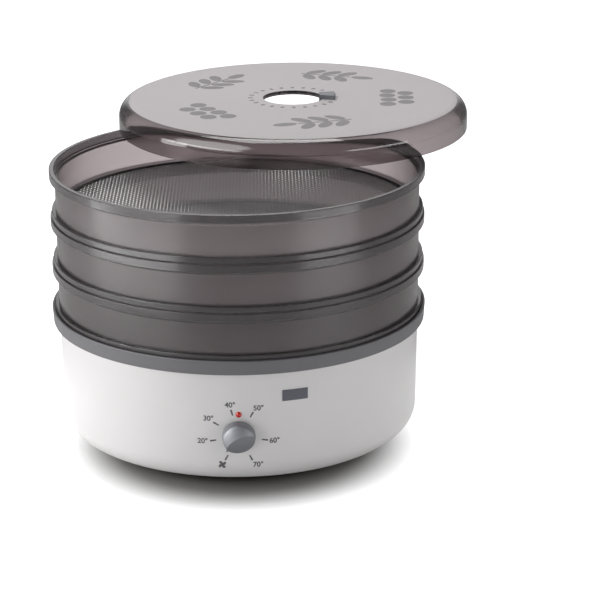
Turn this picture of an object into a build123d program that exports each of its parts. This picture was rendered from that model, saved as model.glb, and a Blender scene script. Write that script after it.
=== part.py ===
from build123d import *
import os
from math import asin, cos, degrees, hypot, radians, sin, sqrt

# Food dehydrator: a fan-heater base, three stacked trays with wire screens, and a lid slid half open.
# Millimetres. The origin is on the table under the base's axis, +Z is up, the knob faces -Y.

# Trays: a round wall that runs on below a bead as a spigot, with a socket collar on top
TRAY_COUNT = 3
TRAY_WALL_R = 160.2
TRAY_WALL = 2.2
TRAY_H = 42.1
COLLAR_W = 4.8
COLLAR_H = 7.0
COLLAR_SLOPE = 3.0
SOCKET_DEPTH = 7.5
SPIGOT_GAP = 0.6
SPIGOT_FLOAT = 0.7
SEAT_GAP = 0.2
BEAD_W = 3.4
BEAD_H = 5.5
RIM_ROUND = 0.7

# Screens: a flat wire net clamped in a hoop that lies on a ledge in the tray
LEDGE_W = 4.0
LEDGE_T = 2.2
LEDGE_Z = 1.5
HOOP_W = 3.6
HOOP_H = 2.8
HOOP_GAP = 0.3
NET_T = 0.9
NET_BITE = 1.8
NET_PITCH = 15.0
NET_BAR = 3.4

# Lid: a shallow cap whose skirt stands on the top tray's rim, slid back and to the right
LID_INSET = 2.7
LID_H = 25.9
LID_WALL = 2.4
LID_ROUND = 14.0
LID_GAP = 0.2
LID_X = 51.4
LID_Y = 134.8
VENT_R = 28.0
VENT_LIP_H = 3.8
VENT_LIP_W = 2.6

# Time marker: a small clip that slides round the lid's vent hole
MARKER_ARC = 27.0
MARKER_TURN = -3.0
MARKER_REACH = 11.5
MARKER_H = 3.6
MARKER_WEB = 2.6
MARKER_JAW = 1.6
MARKER_JAW_REACH = 4.0
MARKER_GAP = 0.3
MARKER_ROUND = 0.8

# Base housing: a moulded drum with a rounded foot, open below for the bottom plate
STAND_H = 3.5
HOUSING_H = 101.1
HOUSING_INSET = 6.4
HOUSING_TAPER = 1.2
HOUSING_WALL = 2.5
HOUSING_ROUND = 18.0
PLATE_LEDGE_W = 10.0
POST_INSET = 10.5
POST_RAD = 5.0
POST_RIB = 3.0
POST_COVER = 0.4
BOSS_RAD = 4.0
BOSS_H = 10.0

# Rim ring: the ring on the housing that carries the first tray
RING_LIP_W = 2.2
RING_DRAFT = 0.8
RING_LIP_H = 2.0
RING_LIP_GAP = 0.6
RING_SKIRT = 0.9
RING_SKIRT_GAP = 0.4
RING_LEDGE_T = 2.2
RING_LEDGE_W = 6.5
RING_ROUND = 0.8

# Deck grille and its screws
DECK_EDGE = 4.0
DECK_T = 2.2
DECK_SLOT_W = 3.4
DECK_SLOT_L = 24.0
DECK_SLOT_ROWS = (32.0, 62.0)
DECK_SLOT_COUNTS = (16, 30)
SCREW_COUNT = 4
SCREW_ANGLE = 45.0
SCREW_RAD = 1.95
SCREW_GAP = 0.05
SCREW_L = 14.0
HEAD_RAD = 3.4
HEAD_H = 1.6

# Bottom plate, its screws and the feet
PLATE_T = 2.5
PLATE_RIM = 4.8
PLATE_GAP = 0.3
PLATE_SCREW_EDGE = 4.7
PLATE_SCREW_L = 10.0
INTAKE_R = 74.0
INTAKE_L = 40.0
INTAKE_W = 3.4
INTAKE_COUNT = 28
FOOT_COUNT = 4
FOOT_EDGE = 19.7
FOOT_RAD = 9.0
FOOT_STEM_RAD = 3.4
FOOT_BARB_RAD = 4.6
FOOT_BARB_H = 2.5
MOTOR_POST_RAD = 5.0
MOTOR_POST_H = 10.0

# Motor: a shaded-pole motor under the fan, its axis on the base's axis
SHAFT_RAD = 2.0
BEARING_GAP = 0.04
BEARING_RAD = 5.0
BEARING_L = 6.0
BRIDGE_END = 10.0
BRIDGE_W = 22.0
BRIDGE_T = 2.0
STATOR_H = 18.0
STATOR_EDGE = 8.0
STATOR_LEFT = 21.0
STATOR_BORE = 15.6
POLE_WALL = 3.4
WINDOW_L = 12.0
WINDOW_W = 28.0
LEG_W = 10.0
COIL_ROOM = 2.5
COIL_GAP = 1.0
ROTOR_GAP = 0.5
MOTOR_SCREW_PITCH = 40.0
MOTOR_SCREW_RAD = 1.9
MOTOR_SCREW_BITE = 7.0

# Fan
FAN_RAD = 64.0
FAN_HUB_RAD = 11.0
FAN_HUB_H = 15.0
FAN_LIFT = 13.0
BLADE_COUNT = 7
BLADE_CHORD = 24.0
BLADE_T = 1.6
BLADE_PITCH = 27.0
CLIP_RAD = 6.0
CLIP_T = 1.5

# Air duct and heater
FAN_TIP_GAP = 8.0
DUCT_T = 1.0
DUCT_H = 60.0
DUCT_FLANGE = 9.0
HEATER_INSET = 16.0
HEATER_TUBE = 3.2
HEATER_DROP = 22.0
HEATER_GAP_ANGLE = 44.0
HEATER_BEND = 8.0
HEATER_LEG = 4.0
CLIP_COUNT = 3
CLIP_ANGLE = 60.0
CLIP_W = 8.0
CLIP_PLATE = 1.6
CLIP_INSET = 3.0
CUTOUT_RAD = 8.5
CUTOUT_T = 9.0
CUTOUT_DROP = 26.0

# Thermostat, knob and lamp on the front
KNOB_Z = 46.8
KNOB_R = 14.0
KNOB_H = 13.0
KNOB_RIM = 1.0
KNOB_EDGE = 9.0
KNOB_DRAFT = 0.8
KNOB_ROUND = 3.0
KNOB_GAP = 1.2
KNOB_REST = 222.0
KNOB_CUT_S = -3.5
KNOB_CUT_TILT = 56.0
KNOB_SKEW = 21.0
NIB_REACH = 2.4
NIB_W = 6.0
NIB_H = 4.5
SPINDLE_RAD = 3.0
SPINDLE_FLAT = 2.0
SPINDLE_GAP = 0.05
SPINDLE_BITE = 6.6
BUSH_RAD = 4.6
BUSH_GAP = 0.3
NUT_AF = 13.0
NUT_T = 2.6
NUT_STAND = 0.3
NUT_GAP = 0.05
NUT_ROOM = 1.2
PAD_RAD = 10.0
PAD_REACH = 4.5
STAT_W = 30.0
STAT_T = 22.0
PROBE_RAD = 3.0
PROBE_L = 24.0
PROBE_TUBE = 1.2
PROBE_RISE = 22.0
PROBE_RUN = 22.0
PROBE_BEND = 6.0
LAMP_ROOM = 4.6
LAMP_RAD = 2.3
LAMP_GAP = 0.1
LAMP_HEAD_RAD = 2.6
LAMP_HEAD_H = 1.5
LAMP_STAND = 0.3
LAMP_STEM = 3.0
LAMP_HOLDER_RAD = 4.0
LAMP_HOLDER_L = 12.0

# Mains inlet at the back
GLAND_Z = 30.0
GLAND_RAD = 6.0
GLAND_BORE = 3.8
GLAND_FLANGE_RAD = 9.5
GLAND_FLANGE_T = 2.4
GLAND_STAND = 0.4
GLAND_INNER_L = 6.0
GLAND_GAP = 0.1
BLOCK_L = 30.0
BLOCK_W = 16.0
BLOCK_H = 14.0
BLOCK_EDGE = 10.0
TERMINAL_RAD = 2.0
TERMINAL_PITCH = 10.0
TERMINAL_DEPTH = 5.0
WIRE_RAD = 1.4
WIRE_BEND = 5.0
WIRE_LIFT = 5.0
WIRE_RUN = 14.0
WIRE_SIDE = 48.0

# Heights and radii that follow from the sizes above
housing_z = STAND_H
housing_top = housing_z + HOUSING_H
plate_top = housing_z + PLATE_T
ledge_top = housing_top + RING_LEDGE_T
ring_seat = ledge_top + SOCKET_DEPTH
socket_r = TRAY_WALL_R + SPIGOT_GAP
tray_inner_r = TRAY_WALL_R - TRAY_WALL
collar_r = TRAY_WALL_R + COLLAR_W
bead_r = TRAY_WALL_R + BEAD_W
tray_pitch = TRAY_H + SEAT_GAP
tray_seats = [ring_seat + SEAT_GAP + number * tray_pitch for number in range(TRAY_COUNT)]
stack_top = tray_seats[-1] + TRAY_H
lid_r = collar_r - LID_INSET
lid_z = stack_top + LID_GAP
lip_r = bead_r + RING_LIP_GAP
ring_r = lip_r + RING_LIP_W
housing_top_r = ring_r - HOUSING_INSET
housing_foot_r = housing_top_r - HOUSING_TAPER
post_r = housing_top_r - POST_INSET
deck_r = post_r + DECK_EDGE
round_x = housing_foot_r - HOUSING_ROUND
opening_r = round_x - PLATE_RIM
plate_r = opening_r - PLATE_GAP
plate_screw_r = plate_r - PLATE_SCREW_EDGE
foot_ring_r = plate_r - FOOT_EDGE
duct_r = FAN_RAD + FAN_TIP_GAP
lamp_z = KNOB_Z + STAT_W / 2 + LAMP_ROOM


def drum_radius(height):
    """The housing's outer radius at a height, on its slightly tapered side."""
    foot_height = housing_z + HOUSING_ROUND
    share = (height - foot_height) / (housing_top - foot_height)
    return housing_foot_r + (housing_top_r - housing_foot_r) * share


def save(builder, name):
    """Names a finished piece and writes it as its own file."""
    builder.part.label = name
    export_step(builder.part, f"parts/{name}.step")


os.makedirs("parts", exist_ok=True)

# Base housing: the drum is turned from one profile, then gets posts, bosses, a pad and its holes
round_z = housing_z + HOUSING_ROUND
inner_round = HOUSING_ROUND - HOUSING_WALL
inner_floor = plate_top + HOUSING_WALL
inner_angle = degrees(asin((round_z - inner_floor) / inner_round))
front_r = drum_radius(KNOB_Z)
pad_face = front_r - HOUSING_WALL - PAD_REACH
rear_r = drum_radius(GLAND_Z)
with BuildPart() as base_housing:
    with BuildSketch(Plane.XZ):
        with BuildLine():
            foot_arc = CenterArc((round_x, round_z), HOUSING_ROUND, 270, 90)
            outside = Line(foot_arc @ 1, (housing_top_r, housing_top))
            top_edge = Line(outside @ 1, (housing_top_r - HOUSING_WALL, housing_top))
            inner_arc = CenterArc((round_x, round_z), inner_round, -inner_angle, inner_angle)
            Line(top_edge @ 1, inner_arc @ 1)
            Polyline(
                inner_arc @ 0,
                (opening_r - PLATE_LEDGE_W, inner_floor),
                (opening_r - PLATE_LEDGE_W, plate_top),
                (opening_r, plate_top),
                (opening_r, housing_z),
                foot_arc @ 0,
            )
        make_face()
    revolve(axis=Axis.Z)
    rib_end = housing_foot_r - POST_COVER
    with BuildSketch(Plane.XY.offset(round_z)):
        with PolarLocations(post_r, SCREW_COUNT, start_angle=SCREW_ANGLE):
            Circle(POST_RAD)
        with PolarLocations((post_r + rib_end) / 2, SCREW_COUNT, start_angle=SCREW_ANGLE):
            Rectangle(rib_end - post_r, POST_RIB)
    extrude(amount=housing_top - round_z)
    with BuildSketch(Plane.XY.offset(plate_top)):
        with PolarLocations(plate_screw_r, SCREW_COUNT, start_angle=SCREW_ANGLE):
            Circle(BOSS_RAD)
    extrude(amount=BOSS_H)
    with BuildSketch(Plane.XZ.offset(pad_face)):
        with Locations((0, KNOB_Z)):
            Circle(PAD_RAD)
    extrude(amount=PAD_REACH + HOUSING_WALL / 2)
    with BuildSketch(Plane.XY.offset(housing_top)):
        with PolarLocations(post_r, SCREW_COUNT, start_angle=SCREW_ANGLE):
            Circle(SCREW_RAD + SCREW_GAP)
    extrude(amount=-SCREW_L, mode=Mode.SUBTRACT)
    with BuildSketch(Plane.XY.offset(plate_top)):
        with PolarLocations(plate_screw_r, SCREW_COUNT, start_angle=SCREW_ANGLE):
            Circle(SCREW_RAD + SCREW_GAP)
    extrude(amount=PLATE_SCREW_L, mode=Mode.SUBTRACT)
    with BuildSketch(Plane.XZ):
        with Locations((0, KNOB_Z)):
            Circle(BUSH_RAD + NUT_GAP)
        with Locations((0, lamp_z)):
            Circle(LAMP_RAD + LAMP_GAP)
    extrude(amount=housing_top_r, mode=Mode.SUBTRACT)
    with BuildSketch(Plane.XZ):
        with Locations((0, GLAND_Z)):
            Circle(GLAND_RAD + GLAND_GAP)
    extrude(amount=-housing_top_r, mode=Mode.SUBTRACT)
save(base_housing, "base_housing")

# Rim ring: seat, lip and inner ledge turned as one profile, drilled for the deck screws
ring_foot = housing_top - RING_SKIRT
ring_ledge_r = post_r - RING_LEDGE_W
with BuildPart() as base_rim_ring:
    with BuildSketch(Plane.XZ) as ring_profile:
        with BuildLine():
            Polyline(
                (ring_ledge_r, housing_top),
                (housing_top_r + RING_SKIRT_GAP, housing_top),
                (housing_top_r + RING_SKIRT_GAP, ring_foot),
                (ring_r - RING_DRAFT, ring_foot),
                (ring_r, ring_seat + RING_LIP_H),
                (lip_r, ring_seat + RING_LIP_H),
                (lip_r, ring_seat),
                (socket_r, ring_seat),
                (socket_r, ledge_top),
                (ring_ledge_r, ledge_top),
                close=True,
            )
        make_face()
        fillet(ring_profile.vertices().sort_by(Axis.Y)[-2:], RING_ROUND)
    revolve(axis=Axis.Z)
    with BuildSketch(Plane.XY.offset(housing_top)):
        with PolarLocations(post_r, SCREW_COUNT, start_angle=SCREW_ANGLE):
            Circle(SCREW_RAD + SCREW_GAP)
    extrude(amount=RING_LEDGE_T, mode=Mode.SUBTRACT)
save(base_rim_ring, "base_rim_ring")

# Deck grille: the slotted plate over the fan, screwed through the ring's ledge into the posts
deck_top = ledge_top + DECK_T
with BuildPart() as deck_grille:
    with BuildSketch(Plane.XY.offset(ledge_top)):
        Circle(deck_r)
        for row_r, row_count in zip(DECK_SLOT_ROWS, DECK_SLOT_COUNTS):
            with PolarLocations(row_r, row_count):
                SlotOverall(DECK_SLOT_L, DECK_SLOT_W, mode=Mode.SUBTRACT)
        with PolarLocations(post_r, SCREW_COUNT, start_angle=SCREW_ANGLE):
            Circle(SCREW_RAD + SCREW_GAP, mode=Mode.SUBTRACT)
    extrude(amount=DECK_T)
save(deck_grille, "deck_grille")

# Deck screws: four pan heads, down through the deck and the ring into the housing's posts
with BuildPart() as deck_screws:
    with BuildSketch(Plane.XY.offset(deck_top)):
        with PolarLocations(post_r, SCREW_COUNT, start_angle=SCREW_ANGLE):
            Circle(HEAD_RAD)
    extrude(amount=HEAD_H)
    with BuildSketch(Plane.XY.offset(deck_top)):
        with PolarLocations(post_r, SCREW_COUNT, start_angle=SCREW_ANGLE):
            Circle(SCREW_RAD)
    extrude(amount=-(SCREW_L - HEAD_H))
save(deck_screws, "deck_screws")

# Bottom plate: closes the drum from below, with intake slots and two posts for the motor
motor_post_top = plate_top + MOTOR_POST_H
with BuildPart() as bottom_plate:
    with BuildSketch(Plane.XY.offset(housing_z)):
        Circle(plate_r)
        with PolarLocations(INTAKE_R, INTAKE_COUNT):
            SlotOverall(INTAKE_L, INTAKE_W, mode=Mode.SUBTRACT)
        with PolarLocations(plate_screw_r, SCREW_COUNT, start_angle=SCREW_ANGLE):
            Circle(SCREW_RAD + SCREW_GAP, mode=Mode.SUBTRACT)
        with PolarLocations(foot_ring_r, FOOT_COUNT, start_angle=SCREW_ANGLE):
            Circle(FOOT_STEM_RAD, mode=Mode.SUBTRACT)
    extrude(amount=PLATE_T)
    with BuildSketch(Plane.XY.offset(plate_top)):
        with GridLocations(0, MOTOR_SCREW_PITCH, 1, 2):
            Circle(MOTOR_POST_RAD)
    extrude(amount=MOTOR_POST_H)
    with BuildSketch(Plane.XY.offset(motor_post_top)):
        with GridLocations(0, MOTOR_SCREW_PITCH, 1, 2):
            Circle(MOTOR_SCREW_RAD + SCREW_GAP)
    extrude(amount=-MOTOR_SCREW_BITE, mode=Mode.SUBTRACT)
save(bottom_plate, "bottom_plate")

# Bottom screws: up through the plate into the housing's bosses
with BuildPart() as bottom_screws:
    with BuildSketch(Plane.XY.offset(housing_z)):
        with PolarLocations(plate_screw_r, SCREW_COUNT, start_angle=SCREW_ANGLE):
            Circle(HEAD_RAD)
    extrude(amount=-HEAD_H)
    with BuildSketch(Plane.XY.offset(housing_z)):
        with PolarLocations(plate_screw_r, SCREW_COUNT, start_angle=SCREW_ANGLE):
            Circle(SCREW_RAD)
    extrude(amount=PLATE_SCREW_L)
save(bottom_screws, "bottom_screws")

# Rubber feet: round pads with a barbed stem pulled through the plate
with BuildPart() as rubber_feet:
    with BuildSketch(Plane.XY):
        with PolarLocations(foot_ring_r, FOOT_COUNT, start_angle=SCREW_ANGLE):
            Circle(FOOT_RAD)
    extrude(amount=STAND_H)
    with BuildSketch(Plane.XY):
        with PolarLocations(foot_ring_r, FOOT_COUNT, start_angle=SCREW_ANGLE):
            Circle(FOOT_STEM_RAD)
    extrude(amount=plate_top)
    with BuildSketch(Plane.XY.offset(plate_top)):
        with PolarLocations(foot_ring_r, FOOT_COUNT, start_angle=SCREW_ANGLE):
            Circle(FOOT_BARB_RAD)
    extrude(amount=FOOT_BARB_H)
save(rubber_feet, "rubber_feet")

# Motor bridges: two strips with a bearing each, below and above the stator
lower_bridge_z = motor_post_top
stator_z = lower_bridge_z + BRIDGE_T
upper_bridge_z = stator_z + STATOR_H
motor_top = upper_bridge_z + BRIDGE_T
bridge_l = MOTOR_SCREW_PITCH + BRIDGE_END
for name, bridge_z in (("motor_bridge_lower", lower_bridge_z), ("motor_bridge_upper", upper_bridge_z)):
    with BuildPart() as motor_bridge:
        with BuildSketch(Plane.XY.offset(bridge_z)):
            SlotOverall(bridge_l, BRIDGE_W, rotation=90)
            Circle(BEARING_RAD, mode=Mode.SUBTRACT)
            with GridLocations(0, MOTOR_SCREW_PITCH, 1, 2):
                Circle(MOTOR_SCREW_RAD + SCREW_GAP, mode=Mode.SUBTRACT)
        extrude(amount=BRIDGE_T)
    save(motor_bridge, name)

# Motor bearings: a sintered bush in each bridge
with BuildPart() as motor_bearings:
    for bush_z in (lower_bridge_z + BRIDGE_T - BEARING_L, upper_bridge_z):
        with BuildSketch(Plane.XY.offset(bush_z)):
            Circle(BEARING_RAD)
            Circle(SHAFT_RAD + BEARING_GAP, mode=Mode.SUBTRACT)
        extrude(amount=BEARING_L)
save(motor_bearings, "motor_bearings")

# Motor stator: a stack of plates with the rotor's bore, the coil's window and the leg it is wound on
window_x = STATOR_BORE + POLE_WALL
leg_x = window_x + WINDOW_L
stator_w = MOTOR_SCREW_PITCH + STATOR_EDGE
stator_right = leg_x + LEG_W
with BuildPart() as motor_stator:
    with BuildSketch(Plane.XY.offset(stator_z)):
        with Locations(((stator_right - STATOR_LEFT) / 2, 0)):
            Rectangle(stator_right + STATOR_LEFT, stator_w)
        Circle(STATOR_BORE, mode=Mode.SUBTRACT)
        with Locations((window_x + WINDOW_L / 2, 0)):
            Rectangle(WINDOW_L, WINDOW_W, mode=Mode.SUBTRACT)
        with GridLocations(0, MOTOR_SCREW_PITCH, 1, 2):
            Circle(MOTOR_SCREW_RAD + SCREW_GAP, mode=Mode.SUBTRACT)
    extrude(amount=STATOR_H)
save(motor_stator, "motor_stator")

# Motor coil: one block of winding round the stator's leg
stator_mid = stator_z + STATOR_H / 2
coil_t = WINDOW_L - COIL_ROOM
coil_w = WINDOW_W - 2 * COIL_GAP
with BuildPart() as motor_coil:
    with BuildSketch(Plane.XZ.offset(-coil_w / 2)):
        with Locations((leg_x + LEG_W / 2, stator_mid)):
            RectangleRounded(LEG_W + 2 * coil_t, STATOR_H + 2 * coil_t, coil_t / 2)
            Rectangle(LEG_W, STATOR_H, mode=Mode.SUBTRACT)
    extrude(amount=coil_w)
save(motor_coil, "motor_coil")

# Motor screws: two long screws through bridges and stator into the plate's posts
with BuildPart() as motor_screws:
    with BuildSketch(Plane.XY.offset(motor_top)):
        with GridLocations(0, MOTOR_SCREW_PITCH, 1, 2):
            Circle(HEAD_RAD)
    extrude(amount=HEAD_H)
    with BuildSketch(Plane.XY.offset(motor_top)):
        with GridLocations(0, MOTOR_SCREW_PITCH, 1, 2):
            Circle(MOTOR_SCREW_RAD)
    extrude(amount=-(motor_top - motor_post_top + MOTOR_SCREW_BITE))
save(motor_screws, "motor_screws")

# Rotor and shaft: the turning part of the motor
fan_z = motor_top + FAN_LIFT
rotor_r = STATOR_BORE - ROTOR_GAP
shaft_foot = lower_bridge_z + BRIDGE_T - BEARING_L
shaft_top = fan_z + FAN_HUB_H + CLIP_T
with BuildPart() as motor_rotor:
    with BuildSketch(Plane.XY.offset(stator_z + ROTOR_GAP)):
        Circle(rotor_r)
        Circle(SHAFT_RAD, mode=Mode.SUBTRACT)
    extrude(amount=STATOR_H - 2 * ROTOR_GAP)
save(motor_rotor, "motor_rotor")
with BuildPart() as motor_shaft:
    with BuildSketch(Plane.XY.offset(shaft_foot)):
        Circle(SHAFT_RAD)
    extrude(amount=shaft_top - shaft_foot)
save(motor_shaft, "motor_shaft")

# Fan impeller: a hub with pitched blades
blade_mid = fan_z + FAN_HUB_H / 2
blade_root = FAN_HUB_RAD / 2
with BuildPart() as fan_impeller:
    with BuildSketch(Plane.XY.offset(fan_z)):
        Circle(FAN_HUB_RAD)
    extrude(amount=FAN_HUB_H)
    with Locations((0, 0, blade_mid)):
        with PolarLocations((blade_root + FAN_RAD) / 2, BLADE_COUNT):
            Box(FAN_RAD - blade_root, BLADE_CHORD, BLADE_T, rotation=(BLADE_PITCH, 0, 0))
    with BuildSketch(Plane.XY.offset(fan_z)):
        Circle(SHAFT_RAD)
    extrude(amount=FAN_HUB_H, mode=Mode.SUBTRACT)
save(fan_impeller, "fan_impeller")

# Fan clip: the push-on washer that keeps the fan on its shaft
with BuildPart() as fan_clip:
    with BuildSketch(Plane.XY.offset(fan_z + FAN_HUB_H)):
        Circle(CLIP_RAD)
        Circle(SHAFT_RAD, mode=Mode.SUBTRACT)
    extrude(amount=CLIP_T)
save(fan_clip, "fan_clip")

# Air duct: a sheet-metal sleeve that hangs from the deck round fan and heater
duct_foot = ledge_top - DUCT_H
heater_z = ledge_top - HEATER_DROP
heater_r = duct_r - HEATER_INSET
with BuildPart() as air_duct:
    with BuildSketch(Plane.XZ):
        with BuildLine():
            Polyline(
                (duct_r, duct_foot),
                (duct_r + DUCT_T, duct_foot),
                (duct_r + DUCT_T, ledge_top - DUCT_T),
                (duct_r + DUCT_FLANGE, ledge_top - DUCT_T),
                (duct_r + DUCT_FLANGE, ledge_top),
                (duct_r, ledge_top),
                close=True,
            )
        make_face()
    revolve(axis=Axis.Z)
save(air_duct, "air_duct")

# Heater: a tubular element bent to an open ring, its two ends turned down as terminals
down = Vector(0, 0, -1)
bend_side = sin(radians(45))
bend_drop = 1 - cos(radians(45))
with BuildPart() as heater_element:
    with BuildLine() as heater_path:
        heater_ring = CenterArc((0, 0, heater_z), heater_r, HEATER_GAP_ANGLE / 2, 360 - HEATER_GAP_ANGLE)
        for end, away in ((heater_ring @ 0, heater_ring % 0 * -1), (heater_ring @ 1, heater_ring % 1)):
            bend_mid = end + (away * bend_side + down * bend_drop) * HEATER_BEND
            bend_end = end + (away + down) * HEATER_BEND
            ThreePointArc(end, bend_mid, bend_end)
            Line(bend_end, bend_end + down * HEATER_LEG)
    with BuildSketch(Plane(heater_ring @ 0.5, z_dir=heater_ring % 0.5)):
        Circle(HEATER_TUBE)
    sweep(path=heater_path.wires()[0])
save(heater_element, "heater_element")

# Heater clips: three strips from the duct's wall that the ring lies on
clip_inner = heater_r - CLIP_INSET
with BuildPart() as heater_clips:
    with BuildSketch(Plane.XY.offset(heater_z - HEATER_TUBE)):
        with PolarLocations((clip_inner + duct_r) / 2, CLIP_COUNT, start_angle=CLIP_ANGLE):
            Rectangle(duct_r - clip_inner, CLIP_W)
        Circle(duct_r, mode=Mode.INTERSECT)
    extrude(amount=-CLIP_PLATE)
save(heater_clips, "heater_clips")

# Thermal cut-out: a button on the duct's outside that opens if the air stops
cutout_z = ledge_top - CUTOUT_DROP
with BuildPart() as thermal_cutout:
    with BuildSketch(Plane.YZ.offset(duct_r + DUCT_T)):
        with Locations((0, cutout_z)):
            Circle(CUTOUT_RAD)
    extrude(amount=CUTOUT_T)
save(thermal_cutout, "thermal_cutout")

# Thermostat: a boxed switch behind the pad, its bush through the wall
nut_back = front_r + NUT_STAND
bush_end = nut_back + NUT_T
with BuildPart() as thermostat_body:
    with BuildSketch(Plane.XZ.offset(pad_face)):
        with Locations((0, KNOB_Z)):
            RectangleRounded(STAT_W, STAT_W, BUSH_RAD)
    extrude(amount=-STAT_T)
    with BuildSketch(Plane.XZ.offset(pad_face)):
        with Locations((0, KNOB_Z)):
            Circle(BUSH_RAD)
    extrude(amount=bush_end - pad_face)
    with BuildSketch(Plane.XZ.offset(pad_face - STAT_T / 2)):
        with Locations((0, KNOB_Z)):
            Circle(SPINDLE_RAD + BUSH_GAP)
    extrude(amount=bush_end - pad_face + STAT_T / 2, mode=Mode.SUBTRACT)
save(thermostat_body, "thermostat_body")

# Thermostat nut: clamps the bush from outside, hidden in the knob's hollow back
with BuildPart() as thermostat_nut:
    with BuildSketch(Plane.XZ.offset(nut_back)):
        with Locations((0, KNOB_Z)):
            RegularPolygon(NUT_AF / 2, 6, major_radius=False)
            Circle(BUSH_RAD + NUT_GAP, mode=Mode.SUBTRACT)
    extrude(amount=NUT_T)
save(thermostat_nut, "thermostat_nut")

# Spindle: the thermostat's flatted shaft, which the knob turns
knob_back = front_r + KNOB_GAP
spindle_back = pad_face - STAT_T / 2
spindle_end = knob_back + SPINDLE_BITE
with BuildPart() as thermostat_spindle:
    with BuildSketch(Plane.XZ.offset(spindle_back)):
        with Locations((0, KNOB_Z)):
            Circle(SPINDLE_RAD)
        with Locations((0, KNOB_Z + SPINDLE_FLAT + SPINDLE_RAD)):
            Rectangle(2 * SPINDLE_RAD, 2 * SPINDLE_RAD, mode=Mode.SUBTRACT)
    extrude(amount=spindle_end - spindle_back)
save(thermostat_spindle, "thermostat_spindle")

# Knob: a drum with a rounded edge and a gently domed face, cut down on one side by a slanting facet that
# runs out just above its thin rim, and a pointer nib at the facet's end
pointer = Vector(sin(radians(KNOB_REST)), 0, cos(radians(KNOB_REST)))
facet_turn = KNOB_REST - 90 + KNOB_SKEW
facet_side = Vector(sin(radians(facet_turn)), 0, cos(radians(facet_turn)))
outward = Vector(0, -1, 0)
facet_point = Vector(0, -(knob_back + KNOB_H), KNOB_Z) + facet_side * KNOB_CUT_S
facet_normal = facet_side * cos(radians(KNOB_CUT_TILT)) + outward * sin(radians(KNOB_CUT_TILT))
knob_axis = Axis((0, 0, KNOB_Z), (0, 1, 0))
edge_r = KNOB_R - KNOB_DRAFT
dome_rise = KNOB_H - KNOB_EDGE
dome_r = (edge_r**2 + dome_rise**2) / (2 * dome_rise)
nut_room_r = NUT_AF / sqrt(3) + NUT_ROOM
with BuildPart() as control_knob:
    with BuildSketch(Plane.XY.offset(KNOB_Z)):
        with BuildLine():
            rim_line = Polyline((0, -knob_back), (KNOB_R, -knob_back), (KNOB_R, -knob_back - KNOB_RIM))
            side_line = Line(rim_line @ 1, (edge_r, -knob_back - KNOB_EDGE))
            dome_line = RadiusArc(side_line @ 1, (0, -knob_back - KNOB_H), dome_r)
            Line(dome_line @ 1, rim_line @ 0)
        make_face()
        fillet(vertices().sort_by(Axis.X)[-3], radius=KNOB_ROUND)
    revolve(axis=knob_axis)
    split(bisect_by=Plane(facet_point, z_dir=facet_normal), keep=Keep.BOTTOM)
    with BuildSketch(Plane((0, -knob_back, KNOB_Z), x_dir=pointer, z_dir=outward)):
        with BuildLine():
            nib_root = KNOB_R - NIB_W / 2
            Polyline((nib_root, NIB_W / 2), (KNOB_R + NIB_REACH, 0), (nib_root, -NIB_W / 2), close=True)
        make_face()
    extrude(amount=NIB_H)
    with BuildSketch(Plane.XZ.offset(knob_back)):
        with Locations((0, KNOB_Z)):
            Circle(nut_room_r)
    extrude(amount=bush_end - knob_back + NUT_ROOM, mode=Mode.SUBTRACT)
    with BuildSketch(Plane.XZ.offset(knob_back)):
        with Locations((0, KNOB_Z)):
            Circle(SPINDLE_RAD + SPINDLE_GAP)
        with Locations((0, KNOB_Z + SPINDLE_FLAT + SPINDLE_GAP + SPINDLE_RAD)):
            Rectangle(2 * SPINDLE_RAD, 2 * SPINDLE_RAD, mode=Mode.SUBTRACT)
    extrude(amount=SPINDLE_BITE + SPINDLE_GAP, mode=Mode.SUBTRACT)
save(control_knob, "control_knob")

# Thermostat probe: a bulb on a thin tube that rises from the thermostat beside the duct
probe_x = STAT_W / 4
probe_y = -(pad_face - STAT_T / 2)
probe_foot = KNOB_Z + STAT_W / 2
bulb_y = probe_y + PROBE_RUN
bulb_z = probe_foot + PROBE_RISE
with BuildPart() as thermostat_probe:
    with BuildLine():
        FilletPolyline(
            (probe_x, probe_y, probe_foot),
            (probe_x, probe_y, bulb_z),
            (probe_x, bulb_y, bulb_z),
            radius=PROBE_BEND,
        )
    with BuildSketch(Plane((probe_x, probe_y, probe_foot))):
        Circle(PROBE_TUBE)
    sweep()
    with BuildSketch(Plane.XZ.offset(-bulb_y)):
        with Locations((probe_x, bulb_z)):
            Circle(PROBE_RAD)
    extrude(amount=-PROBE_L)
save(thermostat_probe, "thermostat_probe")

# Lamp: a red lens pushed through the wall above the knob, and its holder behind
lamp_r = drum_radius(lamp_z)
lamp_seat = lamp_r + LAMP_STAND
lamp_inner = lamp_r - HOUSING_WALL - LAMP_STEM
lens_r = (LAMP_HEAD_RAD**2 + LAMP_HEAD_H**2) / (2 * LAMP_HEAD_H)
with BuildPart() as lamp_lens:
    with BuildSketch(Plane.XY.offset(lamp_z)):
        with BuildLine():
            stem_line = Polyline(
                (0, -lamp_inner),
                (LAMP_RAD, -lamp_inner),
                (LAMP_RAD, -lamp_seat),
                (LAMP_HEAD_RAD, -lamp_seat),
            )
            lens_line = RadiusArc(stem_line @ 1, (0, -lamp_seat - LAMP_HEAD_H), lens_r)
            Line(lens_line @ 1, stem_line @ 0)
        make_face()
    revolve(axis=Axis((0, 0, lamp_z), (0, 1, 0)))
save(lamp_lens, "lamp_lens")
with BuildPart() as lamp_holder:
    with BuildSketch(Plane.XZ.offset(lamp_inner)):
        with Locations((0, lamp_z)):
            Circle(LAMP_HOLDER_RAD)
    extrude(amount=-LAMP_HOLDER_L)
save(lamp_holder, "lamp_holder")

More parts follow.
